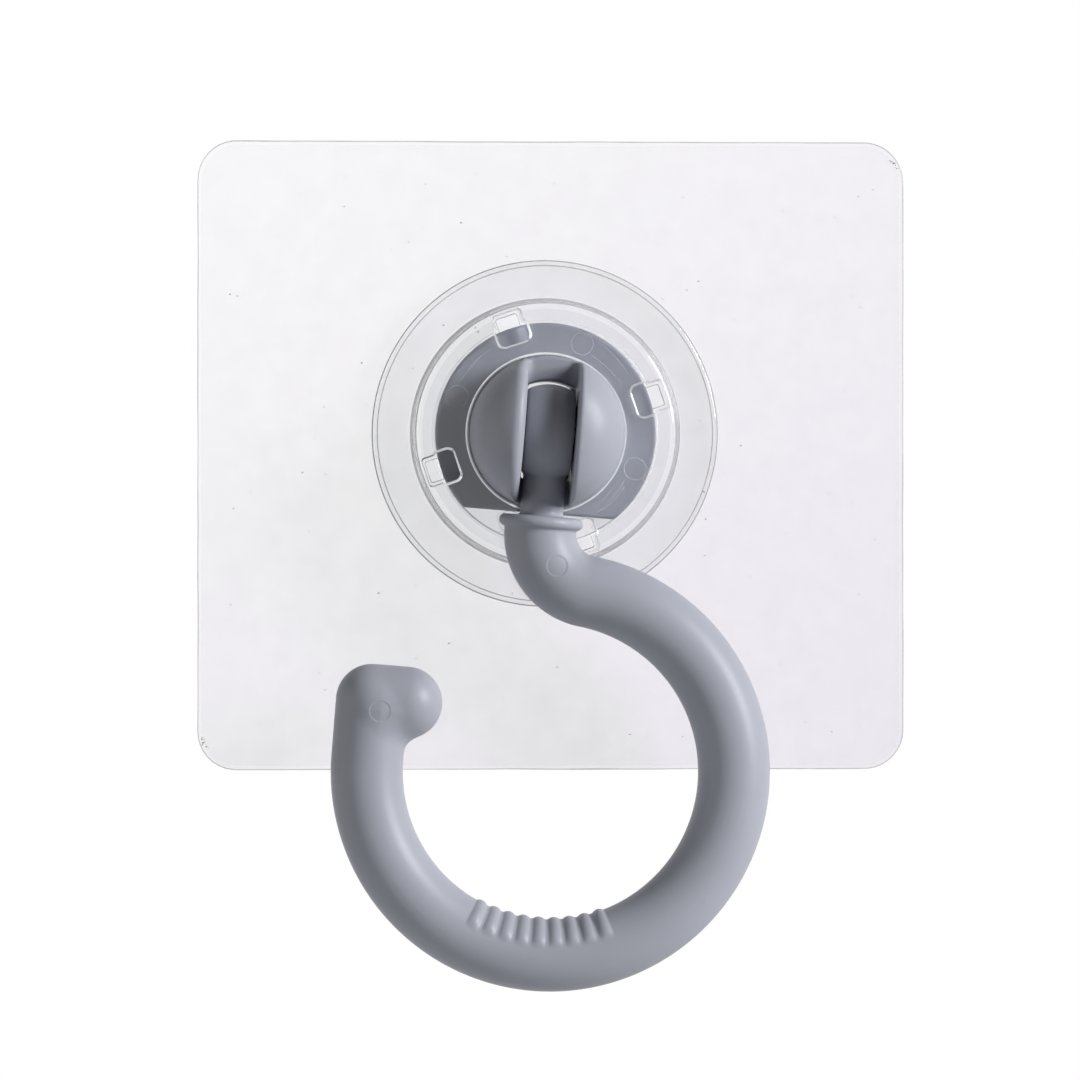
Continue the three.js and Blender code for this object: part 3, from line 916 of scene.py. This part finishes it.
def new_material(name, colour, spread, grain, cloud, rough, bump=0.0, cover=None, painted_light_slope=(0.0, 0.0),
                 extra=None, shadow=None):
    """Principled material with the shared grain; a shadow colour lets lamp rays through a clear one."""
    paint = getattr(bpy.context.scene.swivel_hook.finish, colour)
    material = bpy.data.materials.new(name)
    material.use_nodes = True
    tree = material.node_tree
    shader = tree.nodes["Principled BSDF"]
    surface = add_node(tree, "ShaderNodeGroup", {
        "Dark": shaded(paint, 1.0 - spread), "Light": shaded(paint, 1.0 + spread), "Grain Scale": grain,
        "Cloud Scale": cloud, "Rough Low": rough[0], "Rough High": rough[1]}, node_tree=fine_grain()).outputs
    feed(tree, shader, {"Base Color": surface["Tone"], "Roughness": surface["Roughness"]})
    feed(tree, shader, extra or {})
    if bump:
        relief = add_node(tree, "ShaderNodeBump", {
            "Strength": bump, "Distance": BUMP_DEPTH, "Height": surface["Height"]})
        feed(tree, shader, {"Normal": relief.outputs["Normal"]})
    if cover:
        feed(tree, shader, {"Alpha": veil(tree, surface["Cloud"], cover, painted_light_slope)})
    if shadow:
        path = tree.nodes.new("ShaderNodeLightPath")
        through = add_node(tree, "ShaderNodeBsdfTransparent", {"Color": shaded(shadow, 1.0)})
        mix_shaders(tree, path.outputs["Is Shadow Ray"], shader.outputs["BSDF"], through.outputs["BSDF"],
                    tree.nodes["Material Output"])
    return material


# Operators

FILM_WAVE = 0.4
GLUE_WAVE = 2.1
SHEET_CREASE = 12
RING_CREASE = 40
CLEAR_CREASE = 28
PIN_CREASE = 50
SPECK_SEED = 11
SCUFF_SEED = 5
SCRATCH_SEED = 3


class HOOK_OT_patch(bpy.types.Operator):
    """Make the adhesive, the film, the bond and the specks between them"""
    bl_idname = "swivel_hook.patch"
    bl_label = "Patch"

    def execute(self, context):
        settings = context.scene.swivel_hook
        p = settings.patch
        film_back = p.adhesive
        film_front = p.adhesive + p.film
        outer = patch_outline(p, 0.0, p.waver, FILM_WAVE)
        lip = patch_outline(p, p.edge, p.waver, FILM_WAVE)
        film = sheet_mesh("film", [
            (lip, film_back, 1), (outer, film_back + p.edge / 2, 1), (outer, film_front - p.edge / 2, 1),
            (lip, film_front, 0)], [material_for("film"), material_for("cut_edge")])
        new_piece("patch_film_sheet", crease(film, SHEET_CREASE), "film", "base", "clear_film", "patch_film")
        glue_look = [material_for("adhesive")]
        glue_outer = patch_outline(p, p.inset, 2 * p.waver, GLUE_WAVE)
        glue_lip = patch_outline(p, p.inset + p.edge, 2 * p.waver, GLUE_WAVE)
        glue = sheet_mesh("adhesive", [(glue_outer, 0.0, 0), (glue_lip, film_back - p.skin, 0)], glue_look)
        new_piece("adhesive_gel", crease(glue, SHEET_CREASE), "adhesive", "base", "clear_adhesive",
                  "adhesive_layer")
        bond_back = film_front + p.skin
        bond_front = film_front + p.bond - p.skin
        ring = lathe("bond", [
            (p.bond_inner, bond_back, 0), (p.bond_outer, bond_back, 0), (p.bond_outer, bond_front, 0),
            (p.bond_inner, bond_front, 0)], (settings.housing.axis_x, settings.housing.axis_z), glue_look)
        new_piece("bond_film_ring", crease(ring, RING_CREASE), "adhesive", "base", "clear_adhesive",
                  "bond_ring")
        level = -(film_back - 3 * p.skin)
        self.specks(p, level)
        self.scuffs(p, level)
        return {"FINISHED"}

    def scatter(self, name, p, points, faces, density, seed):
        """Specks over the faces of a carrier."""
        carrier = mesh_from_lists(name + " carrier", points, faces)
        specks = run_tree(carrier, speck_tree(), "speck", {
            "Density": density, "Radius": p.speck, "Seed": seed})
        new_piece(name, specks, "speck", "base", "clear_adhesive")

    def specks(self, p, level):
        """Specks all over the patch."""
        half_x = p.width / 2 - 2 * p.corner / 3
        half_z = p.height / 2 - 2 * p.corner / 3
        points = [(-half_x, level, -half_z), (half_x, level, -half_z), (half_x, level, half_z),
                  (-half_x, level, half_z)]
        density = p.specks / (4 * half_x * half_z)
        self.scatter("trapped_specks", p, points, [(0, 1, 2, 3)], density, SPECK_SEED)

    def scuffs(self, p, level):
        """Grey scuffs at two handled corners of the patch."""
        points = []
        faces = []
        across = p.width / 2 - p.corner
        high = p.height / 2 - p.corner
        spread = 10
        inner = 0.84
        outer = 0.96
        for side, middle in ((1, 30), (-1, 200)):
            first = len(points)
            for degrees in (middle - spread, middle, middle + spread):
                for share in (inner, outer):
                    centre = (side * across, side * high)
                    points.append(round_point(centre, share * p.corner, math.radians(degrees), -level))
            faces.append((first, first + 1, first + 3, first + 2))
            faces.append((first + 2, first + 3, first + 5, first + 4))
        area = 2 * p.corner ** 2 * (outer ** 2 - inner ** 2) / 2 * math.radians(2 * spread)
        self.scatter("corner_scuffs", p, points, faces, p.scuffs / area, SCUFF_SEED)


class HOOK_OT_housing(bpy.types.Operator):
    """Make the clear housing, its back plate and the marks and scratches on it"""
    bl_idname = "swivel_hook.housing"
    bl_label = "Housing"

    def execute(self, context):
        settings = context.scene.swivel_hook
        h = settings.housing
        centre = (h.axis_x, h.axis_z)
        back = settings.patch.adhesive + settings.patch.film + settings.patch.bond
        self.shell(h, back, centre)
        self.back_plate(h, back, centre)
        self.marks(h, centre)
        self.scratches(h, centre)
        return {"FINISHED"}

    def window_angles(self, h, first):
        """Angles of things that are spaced as the windows are."""
        return [first + FULL_TURN * i / h.windows for i in range(h.windows)]

    def shell(self, h, back, centre):
        """The housing, turned and then cut by its windows and cells."""
        look = [material_for(label) for label in ("clear", "shaded_edge", "lit_edge", "top", "faint_edge")]
        clear, painted_shade_band, lit, top, faint = range(5)
        foot = 0.15 * MM
        line = 0.14 * MM
        lip_line = 1.8 * line
        front = back + h.flange_thick
        flange = (h.flange_radius - h.flange_edge, front - h.flange_edge, h.flange_edge)
        root = (h.boss_radius + h.foot_fillet, front + h.foot_fillet, h.foot_fillet)
        boss = (h.boss_radius - h.boss_draft - h.boss_fillet, h.top_front - h.boss_fillet, h.boss_fillet)
        lip = (h.opening_radius + h.lip_edge, h.top_front - h.lip_edge, h.lip_edge)
        ceiling = (h.cavity_radius - h.foot_fillet, h.top_back - h.foot_fillet, h.foot_fillet)
        # The shade bands below are painted shade: dark lines at the flange edge, the boss foot and the boss
        # fillet.
        profile = [(h.cavity_radius, back, clear), (h.flange_radius - foot, back, painted_shade_band),
                   (h.flange_radius, back + foot, painted_shade_band)]
        quarter(profile, *flange, 0, 45, 4, painted_shade_band)
        quarter(profile, *flange, 45, 90, 4)
        profile.append((flange[0] - line, front, painted_shade_band))
        profile.append((flange[0] - 2 * line, front, clear))
        quarter(profile, *root, 270, 180, 6, painted_shade_band)
        quarter(profile, *boss, 0, 40, 5, painted_shade_band)
        quarter(profile, *boss, 40, 90, 6)
        # The top band is the top plate's front, in its painted shade tint.
        profile[-1] = profile[-1][:2] + (top,)
        # The lit bands are painted highlight: a white ring along the round opening's lip.
        profile.append((lip[0] + lip_line, h.top_front, lit))
        quarter(profile, *lip, 90, 180, 6, lit)
        profile.append((h.opening_radius, h.top_back, clear))
        # The faint band is a painted highlight: a soft light line on the cavity's fillet.
        quarter(profile, *ceiling, 90, 0, 5, faint)
        shell = lathe("housing", profile, centre, look)
        over = 1.0 * MM
        above = h.top_front + over
        cell_rim = 0.7 * h.rim
        cell_corner = 0.35 * MM
        window_end = h.cavity_radius + 0.2 * MM
        cell_start = h.cavity_radius - 0.5 * MM
        window = radial_outline(h.window_inner, window_end, h.window_width, h.window_corner)
        cell = radial_outline(cell_start, h.cell_outer, h.cell_width, cell_corner)
        cuts = (("window", window, h.top_back - over, h.rim), ("cell", cell, back + h.ledge, cell_rim))
        cutters = []
        # The lit band of each cutter paints a highlight on the rim of each window and cell.
        for angle in self.window_angles(h, h.window_first):
            for name, outline, bottom, rim in cuts:
                levels = [(bottom, 0.0, 0), (h.top_front - h.rim, 0.0, 1), (h.top_front, rim, 0),
                          (above, rim, 0)]
                cutters.append(prism(name, outline, levels, angle, centre, [look[clear], look[lit]]))
        shell = combine(shell, cutters, "DIFFERENCE")
        new_piece("clear_housing", crease(shell, CLEAR_CREASE), "clear", "base", "clear_plastic", "housing")

    def back_plate(self, h, back, centre):
        """The disc behind the turret, with a tongue for each window."""
        rim = 0.12 * MM
        overlap = 1.0 * MM
        tongue_corner = 0.3 * MM
        radius = h.cavity_radius - h.plate_gap
        front = back + h.plate_thick
        under = front - h.tongue_thick
        look = [material_for(label) for label in ("clear", "lit_edge", "glint")]
        # Band 1 paints a highlight round the rim of the disc and of each tongue; band 2, the tongue's front,
        # is a painted glint.
        disc = lathe("back plate", [
            (0.0, back, 0), (radius - rim, back, 0), (radius, back + rim, 0), (radius, front - rim, 1),
            (radius - rim, front, 0), (0.0, front, 0)], centre, look)
        width = h.cell_width - 2 * h.plate_gap
        tongue = radial_outline(radius - overlap, h.cell_outer - h.plate_gap, width, tongue_corner)
        levels = [(under, -rim, 0), (under + rim, 0.0, 0), (front - 1.5 * rim, 0.0, 1),
                  (front - 0.5 * rim, -rim, 0)]
        tongues = []
        for angle in self.window_angles(h, h.window_first):
            tongues.append(prism("tongue", tongue, levels, angle, centre, look, 2))
        disc = combine(disc, tongues, "UNION")
        new_piece("snap_back_plate", crease(disc, CLEAR_CREASE), "clear", "base", "clear_plastic",
                  "back_plate")

    def marks(self, h, centre):
        """Raised rings of the ejector marks on the top plate."""
        angles = self.window_angles(h, h.mark_first)
        points = [round_point(centre, h.mark_orbit, angle, h.top_front) for angle in angles]
        # The rings' faint white is a painted highlight on each raised ring.
        rings = run_tree(mesh_from_lists("marks", points, []), mark_tree(), "faint_edge", {
            "Radius": h.mark_radius, "Wire": h.mark_wire})
        rings.shade_smooth()
        new_piece("housing_ejector_marks", rings, "faint_edge", "base", "clear_plastic")

    def scratches(self, h, centre):
        """Curved scratches in the top plate, each between a window and the next mark, mostly on the right."""
        chance = np.random.default_rng(SCRATCH_SEED)
        sectors = (3, 3, 3, 0, 1)
        steps = 24
        drift = 0.25 * MM
        window_clear = 1.2
        mark_clear = 1.3
        shortest = 0.6
        sector = FULL_TURN / h.windows
        first = window_clear * h.window_width / 2 / h.window_inner
        last = h.mark_first - h.window_first - mark_clear * h.mark_radius / h.mark_orbit
        least = h.opening_radius + 0.7 * MM
        points = []
        edges = []
        for _ in range(h.scratches):
            side = chance.choice(sectors)
            start = chance.uniform(first, (first + last) / 2)
            run = chance.uniform(shortest, 1.0) * (last - start)
            near = chance.uniform(least, h.cavity_radius)
            far = np.clip(near + chance.normal(0.0, drift), least, h.cavity_radius)
            for i in range(steps + 1):
                angle = h.window_first + side * sector + start + run * i / steps
                if i:
                    edges.append((len(points) - 1, len(points)))
                points.append(round_point(centre, near + (far - near) * i / steps, angle, h.top_front))
        carrier = mesh_from_lists("scratches", points, [], edges)
        lines = run_tree(carrier, scratch_tree(), "faint_edge", {"Wire": h.scratch_wire})
        lines.shade_smooth()
        new_piece("top_plate_scratches", lines, "faint_edge", "base", "clear_plastic")


class HOOK_OT_turret(bpy.types.Operator):
    """Make the domed turret and its steel pin"""
    bl_idname = "swivel_hook.turret"
    bl_label = "Turret"

    def execute(self, context):
        settings = context.scene.swivel_hook
        t = settings.turret
        field = turret_field(t)
        edge = 3 * t.cell
        reach = t.flange_radius + edge
        top = t.dome_centre + t.radius + edge
        points, faces = field_net(field, (-reach, t.back - edge, -reach), (reach, top, reach), t.cell)
        points = settle(points, field, t.cell)
        mesh = mesh_from_lists("turret", swivel_to_row(points, settings), faces)
        new_piece("domed_turret", outward(mesh), "grey", "swivel", "grey_plastic", "turret")
        self.pin(settings)
        return {"FINISHED"}

    def pin(self, settings):
        """The pin, turned about the depth axis and then laid across."""
        t = settings.turret
        half = t.pin_length / 2
        edge = 0.3 * MM
        profile = [(0.0, -half, 0)]
        quarter(profile, t.pin_radius - edge, -half + edge, edge, 270, 360, 4)
        quarter(profile, t.pin_radius - edge, half - edge, edge, 0, 90, 4)
        profile.append((0.0, half, 0))
        pin = lathe("pin", profile, (0.0, 0.0), [material_for("steel")], 64)
        turned = mesh_points(pin)
        along = np.stack([-turned[:, 1], t.pin_depth + turned[:, 0], turned[:, 2]], axis=1)
        set_points(pin, swivel_to_row(along, settings))
        new_piece("steel_pivot_pin", crease(outward(pin), PIN_CREASE), "steel", "swivel", "pin_steel",
                  "pivot_pin")


class HOOK_OT_hook(bpy.types.Operator):
    """Make the folding hook with its grip ribs"""
    bl_idname = "swivel_hook.hook"
    bl_label = "Hook"

    def execute(self, context):
        settings = context.scene.swivel_hook
        h = settings.hook
        pin_depth = settings.turret.pin_depth
        field = hook_field(h, settings.turret)
        edge = 3 * h.cell
        left = h.ring_x - h.ring_radius - h.tube_radius - edge
        right = h.ring_x + h.ring_radius + h.tube_radius + edge
        bottom = -h.ring_drop - h.ring_radius - h.tube_radius - edge
        deep = h.eye_radius + edge
        low = (left, pin_depth - deep, bottom)
        points, faces = field_net(field, low, (right, pin_depth + deep, deep), h.cell)
        mesh = mesh_from_lists("hook", settle(points, field, h.cell), faces)
        mark_margin = 0.5 * MM
        rib_margin = 0.3
        wrap_margin = 0.25
        for spot in hook_marks(h):
            for _ in range(2):
                at = mesh_points(mesh)
                near = np.hypot(at[:, 0] - spot[0], at[:, 2] - spot[1]) < h.mark_radius + mark_margin
                refine(mesh, near & (at[:, 1] > pin_depth))
        round_ring, round_tube = self.rib_angles(h, mesh_points(mesh), pin_depth)
        region = (h.ribs / 2 + rib_margin) * h.rib_pitch
        refine(mesh, (np.abs(round_ring) < region) & (round_tube < h.rib_wrap + wrap_margin))
        set_points(mesh, settle(mesh_points(mesh), field, h.cell))
        for label, values in zip(RIB_ATTRIBUTES, self.rib_angles(h, mesh_points(mesh), pin_depth)):
            store = mesh.attributes.new(label, "FLOAT", "POINT")
            store.data.foreach_set("value", np.ascontiguousarray(values, dtype=np.float32))
        set_points(mesh, swivel_to_row(mesh_points(mesh), settings))
        ribbed = run_tree(outward(mesh), rib_tree(), "grey", {
            "Count": h.ribs, "Pitch": h.rib_pitch, "Wrap": h.rib_wrap, "Width": h.rib_width,
            "Height": h.rib_height, "Inner Radius": h.ring_radius - h.tube_radius})
        for label in RIB_ATTRIBUTES:
            ribbed.attributes.remove(ribbed.attributes[label])
        ribbed.shade_smooth()
        new_piece("folding_hook", ribbed, "grey", "hook", "grey_plastic", "hook")
        return {"FINISHED"}

    def rib_angles(self, h, points, pin_depth):
        """Angle round the ring from its bottom, and angle round the tube from its inner side."""
        across = points[:, 0] - h.ring_x
        down = -(points[:, 2] + h.ring_drop)
        inward = h.ring_radius - np.hypot(across, down)
        return np.arctan2(across, down), np.arctan2(np.abs(points[:, 1] - pin_depth), inward)


# Stage: places in metres, lamp sizes in metres and powers in watts

KEY_LAMP = ("key softbox", (1.24, -0.69, 0.48), (0.36, 0.7), 30.4)
FILL_LAMP = ("side fill", (-0.95, -0.3, 0.1), (0.7, 0.9), 2.3)
LAMP_AIM = (0.0, 0.0, -0.015)
AMBIENT_COLOUR = (0.97, 0.98, 1.0, 1.0)
AMBIENT_STRENGTH = 0.06
FLOOR_LEVEL = -0.12
FLOOR_RADIUS = 0.25
FLOOR_STEPS = 96
FLOOR_GLOW = 0.6
CAMERA_AIM = (-1.46 * MM, -0.8 * MM, -10.75 * MM)
CAMERA_DISTANCE = 0.7
CAMERA_ANGLE = math.radians(2.6)
CAMERA_LENS = 183.4


class HOOK_OT_stage(bpy.types.Operator):
    """Make the floor, lights, world and camera"""
    bl_idname = "swivel_hook.stage"
    bl_label = "Stage"

    def execute(self, context):
        scene = context.scene
        scene.view_settings.view_transform = "Standard"
        self.world(scene)
        self.floor()
        self.lamp(*KEY_LAMP)
        self.lamp(*FILL_LAMP)
        camera = bpy.data.cameras.new("photo camera")
        camera.sensor_width = 36.0
        camera.lens = CAMERA_LENS
        camera.clip_start = 0.01
        viewer = new_object("photo camera", camera)
        viewer.location = (
            CAMERA_AIM[0] - CAMERA_DISTANCE * math.sin(CAMERA_ANGLE),
            CAMERA_AIM[1] - CAMERA_DISTANCE * math.cos(CAMERA_ANGLE), CAMERA_AIM[2])
        viewer.rotation_euler = (math.pi / 2, 0.0, -CAMERA_ANGLE)
        scene.camera = viewer
        return {"FINISHED"}

    def seen_rays(self, tree):
        """1 for rays that show the background, seen straight, mirrored or through clear pieces."""
        path = tree.nodes.new("ShaderNodeLightPath").outputs
        seen = math_node(tree, "MAXIMUM", path["Is Camera Ray"], path["Is Glossy Ray"])
        seen = math_node(tree, "MAXIMUM", seen, path["Is Transmission Ray"])
        direct = math_node(tree, "LESS_THAN", path["Diffuse Depth"], 0.5)
        return math_node(tree, "MULTIPLY", seen, direct)

    def world(self, scene):
        """White where the background is seen, and a weak light elsewhere."""
        world = bpy.data.worlds.new("studio")
        world.use_nodes = True
        scene.world = world
        tree = world.node_tree
        tree.nodes.clear()
        skies = []
        for colour, strength in ((AMBIENT_COLOUR, AMBIENT_STRENGTH), ((1.0, 1.0, 1.0, 1.0), 1.0)):
            sky = add_node(tree, "ShaderNodeBackground", {"Color": colour, "Strength": strength})
            skies.append(sky.outputs["Background"])
        mix_shaders(tree, self.seen_rays(tree), *skies, tree.nodes.new("ShaderNodeOutputWorld"))

    def floor(self):
        """A pale round floor, below what the camera sees."""
        points = []
        for i in range(FLOOR_STEPS):
            angle = FULL_TURN * i / FLOOR_STEPS
            points.append((FLOOR_RADIUS * math.cos(angle), FLOOR_RADIUS * math.sin(angle), FLOOR_LEVEL))
        mesh = mesh_from_lists("floor", points, [range(FLOOR_STEPS)])
        material = bpy.data.materials.new("pale floor")
        material.use_nodes = True
        tree = material.node_tree
        shader = tree.nodes["Principled BSDF"]
        feed(tree, shader, {"Base Color": (0.9, 0.9, 0.9, 1.0), "Roughness": 0.9})
        glow = tree.nodes.new("ShaderNodeEmission")
        share = math_node(tree, "MULTIPLY", self.seen_rays(tree), FLOOR_GLOW)
        mix_shaders(tree, share, shader.outputs["BSDF"], glow.outputs["Emission"],
                    tree.nodes["Material Output"])
        mesh.materials.append(material)
        floor = new_object("floor", mesh)

    def lamp(self, name, spot, size, power):
        """A soft lamp that is aimed at the part."""
        light = bpy.data.lights.new(name, "AREA")
        light.shape = "RECTANGLE"
        light.size = size[0]
        light.size_y = size[1]
        light.energy = power
        lamp = new_object(name, light)
        lamp.location = spot
        aim = Vector(LAMP_AIM) - Vector(spot)
        lamp.rotation_euler = aim.to_track_quat("-Z", "Y").to_euler()


class HOOK_PT_panel(bpy.types.Panel):
    """Lists the steps of the hook"""
    bl_idname = "HOOK_PT_panel"
    bl_label = "Swivel Hook"
    bl_space_type = "VIEW_3D"
    bl_region_type = "UI"
    bl_category = "Swivel Hook"

    def draw(self, context):
        settings = context.scene.swivel_hook
        for step in STEPS:
            self.layout.operator(step.bl_idname)
        for group in (settings.patch, settings.housing, settings.turret, settings.hook, settings.finish):
            box = self.layout.box()
            for label in group.__annotations__:
                box.prop(group, label)


STEPS = (HOOK_OT_patch, HOOK_OT_housing, HOOK_OT_turret, HOOK_OT_hook, HOOK_OT_stage)
GROUPS = (PatchSizes, HousingSizes, TurretSizes, HookSizes, Finishes, HookSettings)
CLASSES = GROUPS + STEPS + (HOOK_PT_panel,)


def register():
    for item in CLASSES:
        bpy.utils.register_class(item)
    bpy.types.Scene.swivel_hook = bpy.props.PointerProperty(type=HookSettings)


def unregister():
    del bpy.types.Scene.swivel_hook
    for item in reversed(CLASSES):
        bpy.utils.unregister_class(item)


def main():
    register()
    bpy.ops.swivel_hook.patch()
    bpy.ops.swivel_hook.housing()
    bpy.ops.swivel_hook.turret()
    bpy.ops.swivel_hook.hook()
    bpy.ops.swivel_hook.stage()


if __name__ == "__main__":
    main()
